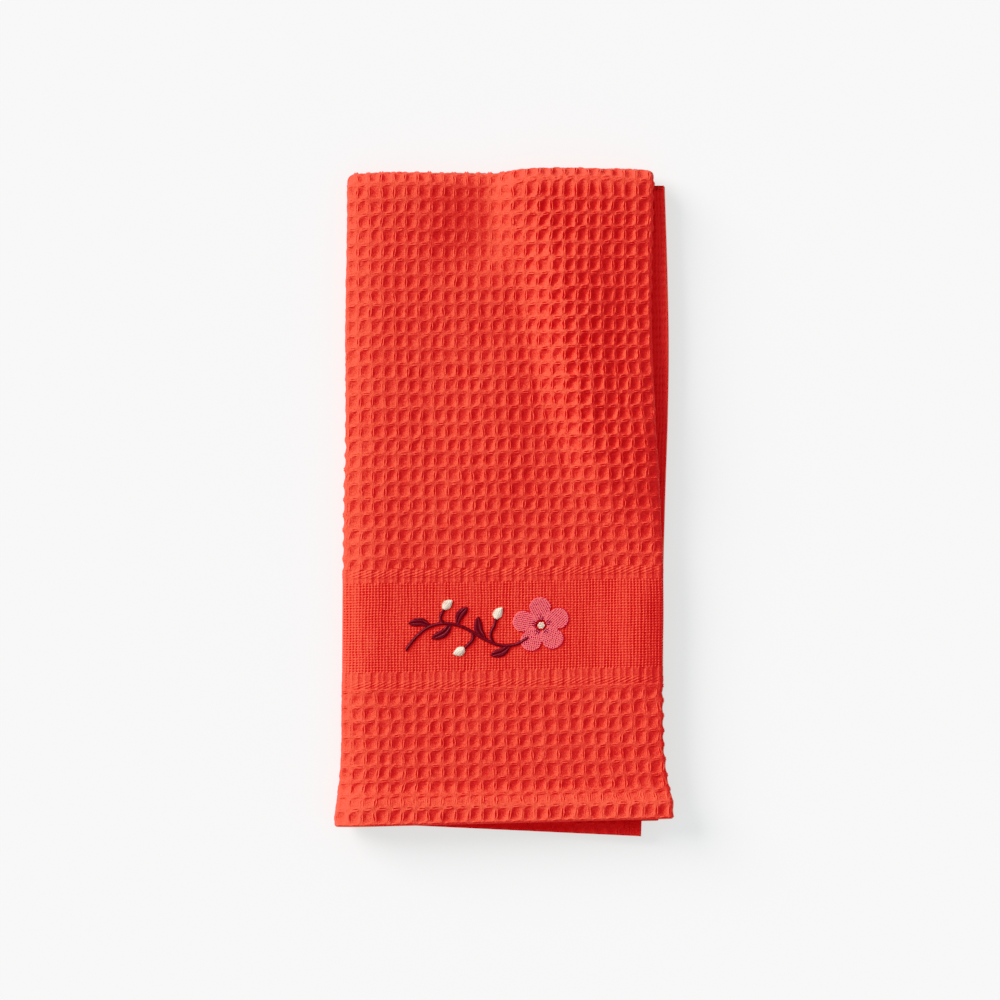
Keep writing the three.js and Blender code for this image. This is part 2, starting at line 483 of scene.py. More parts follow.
# %% Sizes of the weave
CELL_ACROSS = WIDTH / 75
FIRST_RIB_ACROSS = 162.63
FOOT_RIB_ALONG = 16.0
FOOT_CELL_ALONG = 8.03
BODY_RIB_ALONG = 143.3
BODY_CELL_ALONG = 8.02
BODY_ROW = 100
GRAIN_SLANT = 0.0236
GRAIN_MIDDLE = 262
DEPTH = 0.78
SELVEDGE = 10.2

# The border: a plain woven band between two corded lines, with a row of short ribs inside each.
# A cell holds ENDS threads across and PICKS along, and each hole of the band takes a pair of them.
CORD_LOW = (73.6, 77.4)
BAND = (82.6, 129.6)
CORD_HIGH = (133.0, 137.2)
ENDS = 8
PICKS = 11
THREADS_ACROSS = 2 * CELL_ACROSS / ENDS
THREADS_ALONG = 2 * BODY_CELL_ALONG / PICKS

# Where the grid gives way: the hem's seam draws its row of cells down, and the last hollows of the
# upper field run on to the corded line. Each pair is a place along the cloth and its grid line.
HEM_CELLS = ((0.0, -2.1), (5.0, -1.5), (9.2, -1.0), (12.8, -0.5), (FOOT_RIB_ALONG, 0.0))
CELLS_AT_CORD = ((CORD_HIGH[1], 99.12), (BODY_RIB_ALONG - BODY_CELL_ALONG / 2, 99.5))


def grain_slip(along):
    """How far the upright ribs lie beside their place, because the cloth was folded a little askew."""
    return GRAIN_SLANT * (GRAIN_MIDDLE - along)


def cells_at(across, along):
    """The place in the grid of cells: ribs lie on whole numbers both ways, and BODY_ROW starts the body."""
    u = (across + grain_slip(along) - FIRST_RIB_ACROSS) / CELL_ACROSS
    hem = np.interp(along, *zip(*HEM_CELLS))
    foot = (along - FOOT_RIB_ALONG) / FOOT_CELL_ALONG
    body = (along - BODY_RIB_ALONG) / BODY_CELL_ALONG + BODY_ROW
    beside_cord = np.interp(along, *zip(*CELLS_AT_CORD))
    places = [along < HEM_CELLS[-1][0], along < CORD_LOW[1], along < CELLS_AT_CORD[-1][0]]
    return u, np.select(places, [hem, foot, beside_cord], body)


print("cells of", round(CELL_ACROSS, 2), "by", BODY_CELL_ALONG, "mm")

# %% [markdown]
# Handwork and washing make every cell a little different. `wander` is a soft random field: random
# values on a coarse grid with smooth steps between them, from a fixed seed so that each run is alike.

# %% Soft random fields
def wander(across, along, size, seed):
    """A smooth random field from -1 to 1 with bumps of about the given size."""
    shape = (int(WIDTH / size) + 4, int(LENGTH / size) + 4)
    grid = np.random.default_rng(seed).uniform(-1, 1, shape)
    a = np.clip(across / size + 1, 0, shape[0] - 2)
    b = np.clip(along / size + 1, 0, shape[1] - 2)
    i = a.astype(int)
    j = b.astype(int)
    s = smooth(a - i)
    t = smooth(b - j)
    low = blend(grid[i, j], grid[i + 1, j], s)
    high = blend(grid[i, j + 1], grid[i + 1, j + 1], s)
    return blend(low, high, t)


def per_cell(u, v, seed):
    """One random value from 0 to 1 for each cell."""
    table = np.random.default_rng(seed).uniform(0, 1, (256, 256))
    return table[np.floor(u).astype(int) % 256, np.floor(v).astype(int) % 256]


print("a random place", wander(np.array([10.0]), np.array([20.0]), 9.0, seed=1).round(3))


# %% [markdown]
# ### The waffle
#
# A hollow is a squarish bowl: its sides are almost straight, its corners are round, and its floor
# rises softly to the rim. Each lies a little off the middle of its cell and has a size of its own.

# %% The hollow of a waffle cell
HOLLOW_U, HOLLOW_V = 0.435, 0.470
HOLLOW_SQUARE = 2.3
HOLLOW_RIM = 1.3
HOLLOW_DRIFT = 0.06
HOLLOW_LEAST, HOLLOW_RANGE = 0.93, 0.14


def hollow_at(u, v):
    """How far the cloth has sunk in its cell, from 0 on the ribs to 1 in the middle."""
    drift_u = HOLLOW_DRIFT * (2 * per_cell(u, v, seed=9) - 1)
    drift_v = HOLLOW_DRIFT * (2 * per_cell(u, v, seed=10) - 1)
    size = HOLLOW_LEAST + HOLLOW_RANGE * per_cell(u, v, seed=13)
    side_u = np.abs(u - np.floor(u) - 0.5 - drift_u) / (HOLLOW_U * size)
    side_v = np.abs(v - np.floor(v) - 0.5 - drift_v) / (HOLLOW_V * size)
    out = (side_u ** HOLLOW_SQUARE + side_v ** HOLLOW_SQUARE) ** (1 / HOLLOW_SQUARE)
    return (1 - np.minimum(out, 1.0) ** 2) ** HOLLOW_RIM


print("from a rib to the middle of a cell", hollow_at(np.linspace(0, 0.5, 6), np.full(6, 0.5)).round(2))

# %% [markdown]
# Two threads float over each rib. They lie side by side, draw together where they dive into the next
# crossing, and leave a slit between them. Some pairs stand higher than others, as they do after a
# wash. The ribs take their width from the hollows, so only the floats are added here.

# %% The floats on the ribs
FLOAT_SPREAD_U, FLOAT_SPREAD_V = 0.100, 0.072
FLOAT_LENGTH_U, FLOAT_LENGTH_V = 0.70, 0.60
FLOAT_PINCH = 0.25
FLOAT_WIDTH = 0.044
FLOAT_LIFT = 0.46
FLOAT_SLIT = 0.30
LEAST_LIFT_U, LEAST_LIFT_V, LIFT_RANGE = 0.30, 0.35, 0.75


def pair_of_floats(off_rib, along_rib, spread):
    """Two threads that lie side by side on a rib and draw together at both ends."""
    length = np.clip(1 - along_rib ** 2, 0.0, 1.0)
    beside = (off_rib - spread * (FLOAT_PINCH + (1 - FLOAT_PINCH) * length)) / FLOAT_WIDTH
    return length * (np.exp(-beside ** 2) - FLOAT_SLIT * np.exp(-((off_rib / FLOAT_WIDTH) ** 2)))


def waffle(u, v, depth):
    """Height of the waffle over the crossings of its ribs."""
    off_u = np.abs(u - np.round(u))
    off_v = np.abs(v - np.round(v))
    upright = pair_of_floats(off_u, (1 - 2 * off_v) / FLOAT_LENGTH_U, FLOAT_SPREAD_U)
    level = pair_of_floats(off_v, (1 - 2 * off_u) / FLOAT_LENGTH_V, FLOAT_SPREAD_V)
    lift_u = LEAST_LIFT_U + LIFT_RANGE * per_cell(u + 0.5, v, seed=7)
    lift_v = LEAST_LIFT_V + LIFT_RANGE * per_cell(u, v + 0.5, seed=8)
    return -depth * hollow_at(u, v) + FLOAT_LIFT * (lift_u * upright + lift_v * level)


print("height across an upright rib", waffle(np.linspace(0, 0.2, 5), np.full(5, 0.5), DEPTH).round(2))


# %% [markdown]
# ### The border and the edges
#
# The border lies between two corded lines, where several weft threads are laid in together and slant
# like a rope. Inside them a row of short upright ribs gathers the warp, and the band itself is plain
# cloth of paired threads with a tiny hole at each crossing. The selvedges are woven the same way.

# %% Plain cloth
STREAK_RUN = 0.12
STREAK_LEAST, STREAK_RANGE = 0.45, 0.95
BETWEEN_HOLES = 0.22
HOLE_DEPTH, PICK_DEPTH = 0.50, 0.08


def window(x, low, high, soft):
    """1 between low and high, falling to 0 over a soft margin outside them."""
    return smooth((x - low) / soft + 1) * smooth((high - x) / soft + 1)


def plain_weave(across, along):
    """Height of plain cloth: a hole at each crossing, deeper along some threads than along others."""
    streak = 0.5 + 0.5 * wander(across, along * STREAK_RUN, THREADS_ACROSS, seed=31)
    holes_a = half_wave(2 * np.pi * across / THREADS_ACROSS)
    holes_b = half_wave(2 * np.pi * along / THREADS_ALONG)
    hole = holes_a * (BETWEEN_HOLES + (1 - BETWEEN_HOLES) * holes_b)
    hole = hole * (STREAK_LEAST + STREAK_RANGE * streak)
    return -HOLE_DEPTH * hole - PICK_DEPTH * holes_b


print("a pair of threads every", round(THREADS_ACROSS, 2), "by", round(THREADS_ALONG, 2), "mm")

# %% The corded lines
CORD_SLANT = math.radians(22)
CORD_PITCH = 1.45
CORD_BOW, CORD_BOW_SIZE = 0.5, 14.0
CORD_SPREAD = 1.15
CORD_BODY, CORD_STRANDS = 0.08, 0.30
STRAND_ROUND = 0.7
CORD_FADE, CORD_FADE_START = 6.0, 0.2


def cord(across, along, low, high):
    """Height of a corded line over the cloth. It is only half as high at the two folds."""
    middle, half = (low + high) / 2, (high - low) / 2
    bow = CORD_BOW * wander(across, along * 0, CORD_BOW_SIZE, seed=35)
    round_top = np.sqrt(np.clip(1 - ((along - middle) / (half * CORD_SPREAD)) ** 2, 0.0, 1.0))
    phase = (across * math.sin(CORD_SLANT) + (along - middle) * math.cos(CORD_SLANT)) / CORD_PITCH + bow
    strands = np.abs(np.sin(np.pi * phase)) ** STRAND_ROUND
    to_fold = np.minimum(np.abs(across - LEFT_FOLD), np.abs(across - OUTER_THIRD))
    fade = smooth(to_fold / CORD_FADE - CORD_FADE_START)
    return round_top * (CORD_BODY + CORD_STRANDS * strands) * (0.5 + 0.5 * fade)


print("cords at", CORD_LOW, "and", CORD_HIGH, "mm from the hem")

# %% The short ribs
GROOVE_FROM, GROOVE_RUN = 0.62, 0.38
FAINT_FROM, FAINT_RUN = 0.80, 0.20
RIB_LEVEL, GROOVE_DEPTH = -0.10, 0.48


def short_ribs(across, along):
    """Height of the short ribs: a groove in each column of cells, and here and there on a rib."""
    turn = np.pi * (across - FIRST_RIB_ACROSS) / CELL_ACROSS
    skip = 0.5 + 0.5 * wander(across, along * 0, CELL_ACROSS, seed=33)
    deep = smooth((np.abs(np.sin(turn)) - GROOVE_FROM) / GROOVE_RUN) * (0.45 + 0.55 * skip)
    faint = smooth((np.abs(np.cos(turn)) - FAINT_FROM) / FAINT_RUN) * (0.45 - 0.40 * skip)
    return RIB_LEVEL - GROOVE_DEPTH * np.maximum(deep, faint)


groove = short_ribs(np.array([FIRST_RIB_ACROSS + CELL_ACROSS / 2]), np.array([0.0]))
print("height in a groove", groove.round(2))

# %% [markdown]
# The relief puts these parts together. The row of cells under the hem's seam is drawn almost flat,
# and the last row below the corded line is shallower. The hem is double cloth, so it stands a step
# higher. On the inside of the cloth the grid is half a cell off, because hollows and crossings change
# places there.

# %% The relief of a whole face
DEPTH_LEAST, DEPTH_RANGE = 0.85, 0.30
SEAM_ALONG, SEAM_HALF, SEAM_SOFT, SEAM_FLATTENS = 11.4, 3.6, 1.8, 0.82
LAST_ROW, LAST_ROW_SOFT, LAST_ROW_FLATTENS = (70.0, 76.0), 2.0, 0.45
HEM_STEP, HEM_STEP_TOP, HEM_STEP_RUN = 0.4, 14.2, 5.4
CORD_LAP, CORD_SOFT = 0.4, 0.9
BAND_SOFT = 0.8
RIBS_UNDER, PLAIN_UNDER, EDGE_UNDER = 0.1, 0.20, 0.05
EDGE_IN_BORDER = 0.3


def cell_depth(u, v, along):
    """How deep each cell is, in millimetres."""
    seam = smooth((SEAM_HALF - np.abs(along - SEAM_ALONG)) / SEAM_SOFT)
    last_row = window(along, *LAST_ROW, LAST_ROW_SOFT)
    depth = DEPTH * (DEPTH_LEAST + DEPTH_RANGE * per_cell(u, v, seed=5)) * (1 - SEAM_FLATTENS * seam)
    return depth * (1 - LAST_ROW_FLATTENS * last_row)


def relief(across, along, face):
    """Height of the woven face over the plain sheet. The face is -1 outside the fold, 1 inside it."""
    u, v = cells_at(across, along)
    shift = 0.0 if face < 0 else 0.5
    u, v = u + shift, v + shift
    ribs = 0.12 * wander(across, along, 7.0, seed=11) + 0.10 * wander(across, along, 1.6, seed=12)
    woven = waffle(u, v, cell_depth(u, v, along)) + ribs
    plain = plain_weave(across, along) - PLAIN_UNDER
    border = blend(short_ribs(across, along) - RIBS_UNDER, plain, window(along, *BAND, BAND_SOFT))
    border = border + cord(across, along, *CORD_LOW) + cord(across, along, *CORD_HIGH)
    in_border = window(along, CORD_LOW[0] + CORD_LAP, CORD_HIGH[1] - CORD_LAP, CORD_SOFT)
    step = HEM_STEP * smooth((HEM_STEP_TOP - along) / HEM_STEP_RUN)
    height = blend(woven, border, in_border) + step
    in_edge = smooth(SELVEDGE - np.minimum(across, WIDTH - across) + 0.5)
    return blend(height, plain - EDGE_UNDER, in_edge * (1 - EDGE_IN_BORDER * in_border))


sample = relief(np.full(3, 240.0), np.array([40.0, 100.0, 200.0]), -1)
print("relief at three places", sample.round(2))

# %% [markdown]
# ### Both faces and the rounded edges
#
# A cut sheet would end in a sharp rim. The hems are folds and the selvedges are woven edges, so the
# cloth thins to a round edge there.

# %% How thick the cloth is
HEM_ROUND = 1.5
SELVEDGE_ROUND = 0.9
THINNEST = 0.28


def rounding(to_edge, width):
    """1 inside the cloth, and the height of a quarter circle over the given width at its edge."""
    return np.sqrt(np.clip(1 - (1 - np.minimum(to_edge / width, 1)) ** 2, THINNEST ** 2, 1))


def thickness(across, along):
    """The thickness of the cloth, and the share of it that the edges leave."""
    round_hem = rounding(np.minimum(along, LENGTH - along), HEM_ROUND)
    round_side = rounding(np.minimum(across, WIDTH - across), SELVEDGE_ROUND)
    return CLOTH * round_hem * round_side, round_hem * round_side


print("from the hem inwards", thickness(np.full(4, 240.0), np.array([0, 0.5, 1, 2]))[0].round(2), "mm")

# %% [markdown]
# Woven threads never lie on a straight grid. Before a point is laid in the fold, it moves a little
# both ways: a broad drift that bends whole rows, and a fine one that frays each thread. The edges
# keep still, and the dense border almost does. The shading normals come from tiny steps on the same
# rule, so they show relief that is finer than the mesh.

# %% The two faces of the cloth
DRIFT, DRIFT_SIZE = 0.50, 8.0
FRAY, FRAY_SIZE = 0.22, 2.2
STILL_EDGE = 6.0
STILL_BORDER, STILL_SOFT = 0.6, 4.0
NORMAL_STEP = 0.12


def drift(across, along, seed):
    """How far the threads lie off their grid, in millimetres."""
    broad = DRIFT * wander(across, along, DRIFT_SIZE, seed)
    return broad + FRAY * wander(across, along, FRAY_SIZE, seed + 2)


def face_points(across, along, face, depth=1.0):
    """Points of one woven face, in millimetres, with a share of the relief's depth."""
    body, edge = thickness(across, along)
    off = face * (body / 2 + edge * depth * relief(across, along, face))
    from_hem = np.minimum(np.minimum(along, LENGTH - along) / STILL_EDGE, 1)
    from_side = np.minimum(np.minimum(across, WIDTH - across) / STILL_EDGE, 1)
    free = from_hem * from_side * (1 - STILL_BORDER * window(along, CORD_LOW[0], CORD_HIGH[1], STILL_SOFT))
    moved_across = across + free * drift(across, along, seed=21)
    moved_along = along + free * drift(across, along, seed=22)
    return lay(moved_across, moved_along, off)


def face_normals(across, along, face):
    """Directions out of one woven face, from tiny steps both ways."""
    s = NORMAL_STEP
    run_a = face_points(across + s, along, face) - face_points(across - s, along, face)
    run_b = face_points(across, along + s, face) - face_points(across, along - s, face)
    out = face * np.cross(run_a, run_b)
    size = np.linalg.norm(out, axis=-1, keepdims=True)
    return out / np.maximum(size, 1e-9)


print("a point of the front", face_points(np.array([240.0]), np.array([200.0]), -1).round(1))


# %% [markdown]
# ## Making the meshes
#
# One mesh for the whole towel would need millions of faces to show the cells. Instead the cloth is
# made in stretches that meet edge to edge, each a closed sheet with a fine grid on the face that
# shows and a coarse one on the face that lies inside the fold. Their borders lie on the same rule,
# and their shading normals come from it too, so the joins don't show. The rim between the two grids
# is zipped with triangles, which lets one side have more points than the other.

# %% Steps of the grids
LEAST_STEP = 0.02


def steps(*zones):
    """Even steps through zones, each given as its start, its end and the step in it."""
    places = []
    for start, end, step in zones:
        count = max(int(round((end - start) / step)), 1)
        places.extend(np.linspace(start, end, count + 1)[:-1])
    places.append(zones[-1][1])
    return np.array(places)


def cell_steps(start, end, rib, cell, offsets):
    """Steps that follow the cells, with the given places between two ribs."""
    first, last = math.floor((start - rib) / cell), math.ceil((end - rib) / cell)
    places = [rib + cell * (k + offset) for k in range(first, last + 1) for offset in offsets]
    margin = LEAST_STEP * cell
    return np.array([start, *(p for p in places if start + margin < p < end - margin), end])


print("steps over two zones", steps((0, 2, 0.5), (2, 6, 2.0)))


# %% Grids and rims
def grid_faces(columns, rows, first):
    """Quads over a grid of points that are numbered row by row."""
    c, r = np.meshgrid(np.arange(columns - 1), np.arange(rows - 1))
    low = (first + r * columns + c).ravel()
    return np.stack([low, low + 1, low + columns + 1, low + columns], axis=-1)


def zip_rim(fine, coarse):
    """Triangles between two edges that run side by side, one with more points than the other."""
    faces = []
    i = j = 0
    last_i, last_j = len(fine) - 1, len(coarse) - 1
    while i < last_i or j < last_j:
        if j == last_j or (i < last_i and (i + 1) / last_i <= (j + 1) / last_j):
            faces.append((fine[i], fine[i + 1], coarse[j]))
            i += 1
        else:
            faces.append((fine[i], coarse[j + 1], coarse[j]))
            j += 1
    return faces


def rim_edges(columns, rows, first):
    """The four edges of a grid, each as a list of its points."""
    index = first + np.arange(columns * rows).reshape(rows, columns)
    return [index[0], index[:, -1], index[-1, ::-1], index[::-1, 0]]


print("a zip over 4 and 2 points", zip_rim([0, 1, 2, 3], [4, 5]))

# %% [markdown]
# ### From a stretch to a mesh
#
# A stretch needs more than points. One map holds the place in the grid of cells, for the fine threads
# of the material. Another spreads both faces over a square without overlap, for anyone who wants to
# paint or bake the cloth. Two values say how sunk and how raised each point is, and the material
# paints from them: shade in the hollows, and a lighter red on the raised threads, which is partly wear
# and partly painted highlight. The selvedge strip that shows lies in the towel's shade and is painted
# lighter, which adds to the second value.
#
# The columns of the front follow the slanting ribs, so that no rib runs between them. They ease back
# to straight at both ends, where the neighbouring stretches meet them.

# %% One face of a stretch
WEAVE_MAP = "weave"
FLAT_MAP = "OFBake"
MAP_MARGIN, MAP_WIDTH, MAP_HEIGHT = 0.01, 0.48, 0.98
RAISED_FROM, RAISED_RUN = 0.08, 0.30
# Painted light: the width and the fade of the selvedge strip that is painted lighter, because it lies in
# shade
PAINTED_LIGHT_WIDTH, PAINTED_LIGHT_FADE = 26.0, 10.0
SLANT_EASE = 14.0
HIDDEN_DEPTH = 0.3


def follow_ribs(across, along):
    """Places across that lie on the slanting ribs, apart from the ends."""
    from_ends = np.minimum(across - across.min(), across.max() - across)
    return across - grain_slip(along) * smooth(from_ends / SLANT_EASE)


def woven_face(face, across, along, hidden, painted_light, slanted):
    """All that one face needs, at the points where its columns and rows cross."""
    a, b = (part.ravel() for part in np.meshgrid(across, along))
    if slanted:
        a = follow_ribs(a, b)
    height = relief(a, b, face)
    # Painted light: the selvedge strip is lighter towards the free edge, where the towel's shade falls on
    # it
    strip_light = painted_light * smooth((a - (WIDTH - PAINTED_LIGHT_WIDTH)) / PAINTED_LIGHT_FADE)
    spread_a = (a - across[0]) / (across[-1] - across[0])
    spread_b = (b - along[0]) / (along[-1] - along[0])
    flat_a = MAP_MARGIN + MAP_WIDTH * spread_a + 0.5 * hidden
    return {
        "points": face_points(a, b, face, HIDDEN_DEPTH if hidden else 1.0),
        "normals": face_normals(a, b, face),
        # Painted shade: how sunk each point is, which the material turns into a darker red in the hollows
        "hollow": np.clip(-height / DEPTH, 0, 1 + painted_light),
        # Partly wear and partly painted highlight: how raised each point is, which the material turns into
        # a lighter red, plus the painted light of the strip
        "raised": np.clip((height - RAISED_FROM) / RAISED_RUN + strip_light, 0, 1 + painted_light),
        WEAVE_MAP: np.stack(cells_at(a, b), axis=-1),
        FLAT_MAP: np.stack([flat_a, MAP_MARGIN + MAP_HEIGHT * spread_b], axis=-1),
    }


def sheet_faces(shown, fine, coarse):
    """The faces of both grids, each given as its columns and rows, and of the rim between them."""
    faces, rims = [], []
    first = 0
    for face, (columns, rows) in ((shown, fine), (-shown, coarse)):
        quads = grid_faces(columns, rows, first)
        faces.extend((quads if face > 0 else quads[:, ::-1]).tolist())
        rims.append(rim_edges(columns, rows, first))
        first += columns * rows
    for fine_edge, coarse_edge in zip(*rims):
        strip = zip_rim(fine_edge.tolist(), coarse_edge.tolist())
        faces.extend(strip if shown < 0 else [face[::-1] for face in strip])
    return faces


print("a sheet of one cell has", len(sheet_faces(-1, (2, 2), (2, 2))), "faces")


# %% A stretch of cloth
def new_piece(name, points, faces):
    """A smooth mesh object, from points in millimetres."""
    mesh = bpy.data.meshes.new(name)
    mesh.from_pydata(points * MM, [], faces)
    mesh.polygons.foreach_set("use_smooth", [True] * len(mesh.polygons))
    piece = bpy.data.objects.new(name, mesh)
    scene.collection.objects.link(piece)
    print(name, sum(len(face) - 2 for face in faces), "triangles")
    return piece


def give_values(mesh, attribute, values):
    """A number for each point of the mesh, which the material can read by name."""
    share = mesh.attributes.new(attribute, "FLOAT", "POINT")
    share.data.foreach_set("value", values.astype(np.float32))


def give_map(mesh, name, places):
    """A flat map with a place for each corner of the faces."""
    layer = mesh.uv_layers.new(name=name)
    layer.uv.foreach_set("vector", places.astype(np.float32).ravel())


def stretch_of_cloth(name, shown, across, along, plain_across, plain_along, painted_light=0.0, slanted=False):
    """A closed sheet: the shown face on a fine grid, the other on a coarse one, and a rim."""
    fine = woven_face(shown, across, along, 0, painted_light, slanted)
    coarse = woven_face(-shown, plain_across, plain_along, 1, painted_light, False)
    cloth = {key: np.concatenate([fine[key], coarse[key]]) for key in fine}
    faces = sheet_faces(shown, (len(across), len(along)), (len(plain_across), len(plain_along)))
    piece = new_piece(name, cloth["points"], faces)
    mesh = piece.data
    corner = np.empty(len(mesh.loops), dtype=np.int32)
    mesh.loops.foreach_get("vertex_index", corner)
    for map_name in (WEAVE_MAP, FLAT_MAP):
        give_map(mesh, map_name, cloth[map_name][corner])
    for attribute in ("hollow", "raised"):
        give_values(mesh, attribute, cloth[attribute])
    mesh.normals_split_custom_set_from_vertices(cloth["normals"].tolist())
    return piece


# %% [markdown]
# ### The stretches of the front
#
# The front is what the picture shows, so it gets the finest grid: sixteen steps to a cell both ways,
# closer together beside the ribs than in the hollow, because that is where the floats are. The border
# has no cells, so its steps follow the threads instead. Each stretch ends where the next one starts.

# %% Weave the front
RIB_STEPS = (0, 0.045, 0.09, 0.135, 0.19, 0.26, 0.34, 0.42, 0.5, 0.58, 0.66, 0.74, 0.81, 0.865, 0.91, 0.955)
FRONT_EDGE = RIGHT_FOLD
FRONT_END = INNER_THIRD + 3.0
BORDER_LOW = 72.6
BORDER_HIGH = CORD_HIGH[1] + 0.8
PANEL_CELLS = 13
PANEL_JOIN = BODY_RIB_ALONG + PANEL_CELLS * BODY_CELL_ALONG
BACK_OF_FOLD = 353.0
FOLD_BACK = 368.0
HEM_EDGE = 2.0
SIDE_EDGE = 1.2
CORD_STEP = 0.25
HIDDEN_STEP = 4.0
THREAD_STEPS = 4

front_across = cell_steps(FRONT_EDGE, FRONT_END, FIRST_RIB_ACROSS, CELL_ACROSS, RIB_STEPS)
front_plain = steps(
    (FRONT_EDGE, OUTER_THIRD, 1.2), (OUTER_THIRD, LEFT_FOLD, 5.0), (LEFT_FOLD, FRONT_END, 1.2),
)


def body_rows(start, end):
    """Rows over the upper field, in step with its cells."""
    return cell_steps(start, end, BODY_RIB_ALONG, BODY_CELL_ALONG, RIB_STEPS)


foot_rows = cell_steps(HEM_EDGE, BORDER_LOW, FOOT_RIB_ALONG, FOOT_CELL_ALONG, RIB_STEPS)
front_foot = stretch_of_cloth(
    "front_foot", -1,
    front_across, np.concatenate([steps((0, HEM_EDGE, 0.3))[:-1], foot_rows]),
    front_plain, steps((0, HEM_EDGE, 0.5), (HEM_EDGE, BORDER_LOW, HIDDEN_STEP)), slanted=True,
)
front_border = stretch_of_cloth(
    "front_border", -1,
    steps((FRONT_EDGE, FRONT_END, THREADS_ACROSS / THREAD_STEPS)),
    steps(
        (BORDER_LOW, BAND[0], CORD_STEP), (*BAND, THREADS_ALONG / THREAD_STEPS),
        (BAND[1], BORDER_HIGH, CORD_STEP),
    ),
    front_plain, steps((BORDER_LOW, BORDER_HIGH, HIDDEN_STEP)),
)
front_panel = stretch_of_cloth(
    "front_panel", -1,
    front_across, body_rows(BORDER_HIGH, PANEL_JOIN),
    front_plain, steps((BORDER_HIGH, PANEL_JOIN, HIDDEN_STEP)), slanted=True,
)
top_rows = np.concatenate([body_rows(PANEL_JOIN, BACK_OF_FOLD)[:-1], steps((BACK_OF_FOLD, FOLD_BACK, 1.1))])
front_top = stretch_of_cloth(
    "front_top", -1,
    front_across, top_rows,
    front_plain, steps((PANEL_JOIN, FOLD_START, HIDDEN_STEP), (FOLD_START, FOLD_BACK, 1.5)), slanted=True,
)

# %% [markdown]
# ### The underside and the thirds inside
#
# The rest of the towel shows only in part: a strip of the inner third's selvedge at the right, and
# its hem at the foot, below the front's. These get close steps where they show and wide ones where
# they don't. The back hem is a stretch of its own, because there the other face of the cloth is up.
# The strip lies in the towel's shade at the right, so it is painted lighter: painted light.

# %% Weave the rest
# Painted light on the selvedge strip, which lies in the towel's shade
STRIP_PAINTED_LIGHT = 4.5
STRIP_SHOWS = 160.0
BACK_HEM_SHOWS = 685.0
UNDER_STEPS = 6

last_hem = (LENGTH - HEM_EDGE, LENGTH)
last_side = (WIDTH - SIDE_EDGE, WIDTH)
under_third = stretch_of_cloth(
    "under_third", -1,
    steps((FRONT_EDGE, FRONT_END, CELL_ACROSS / UNDER_STEPS)),
    steps((FOLD_BACK, last_hem[0], BODY_CELL_ALONG / UNDER_STEPS), (*last_hem, 0.3)),
    front_plain, steps((FOLD_BACK, last_hem[0], HIDDEN_STEP), (*last_hem, 0.5)),
)
inner_along = steps(
    (0, HEM_EDGE, 0.4), (HEM_EDGE, STRIP_SHOWS, 5.0), (STRIP_SHOWS, FOLD_START, 2.2),
    (FOLD_START, FOLD_END, 1.2), (FOLD_END, BACK_HEM_SHOWS, 5.0),
)
hidden_across = steps((FRONT_END, last_side[0], 5.0), (*last_side, 0.6))
to_back_hem = (
    (0, HEM_EDGE, 0.5), (HEM_EDGE, FOLD_START, 6.0), (FOLD_START, FOLD_END, 2.0),
    (FOLD_END, BACK_HEM_SHOWS, 6.0),
)
past_back_hem = ((BACK_HEM_SHOWS, last_hem[0], 6.0), (*last_hem, 0.5))
inner_third = stretch_of_cloth(
    "inner_third", 1,
    steps((FRONT_END, last_side[0], 0.9), (*last_side, 0.3)), inner_along,
    hidden_across, steps(*to_back_hem), painted_light=STRIP_PAINTED_LIGHT,
)
back_hem = stretch_of_cloth(
    "back_hem", -1,
    steps((FRONT_END, last_side[0], 0.7), (*last_side, 0.3)),
    steps((BACK_HEM_SHOWS, last_hem[0], 0.6), (*last_hem, 0.3)),
    hidden_across, steps(*past_back_hem),
)
tucked_across = steps((0, SIDE_EDGE, 0.3), (SIDE_EDGE, FRONT_EDGE, HIDDEN_STEP))
tucked_along = steps(*to_back_hem, *past_back_hem)
tucked_third = stretch_of_cloth(
    "tucked_third", 1, tucked_across, tucked_along, tucked_across, tucked_along,
)
cloth_pieces = [
    front_foot, front_border, front_panel, front_top, under_third, inner_third, back_hem, tucked_third,
]
print("the towel is woven in", len(cloth_pieces), "stretches")

# %% [markdown]
# ## The cotton
#
# The dye is a warm red. Cotton has hardly any gloss, only the pale bloom of its loose fibres. The
# material mixes the dye with a second, lighter red. Random fuzz and tone set part of the mix, as the
# bloom. The rest is painted light: a painted highlight on the raised threads, where wear shows as well,
# and on the crests of the fine threads, and painted shade in the hollows, which holds the lighter red
# back. The threads themselves are too fine for the mesh, so they are a bump too: they run upright over
# the upright ribs and level over the level ones, as they do in the weave, and the cell map tells the
# material where the ribs are. An image of cloth would repeat, and would blur in a close view.

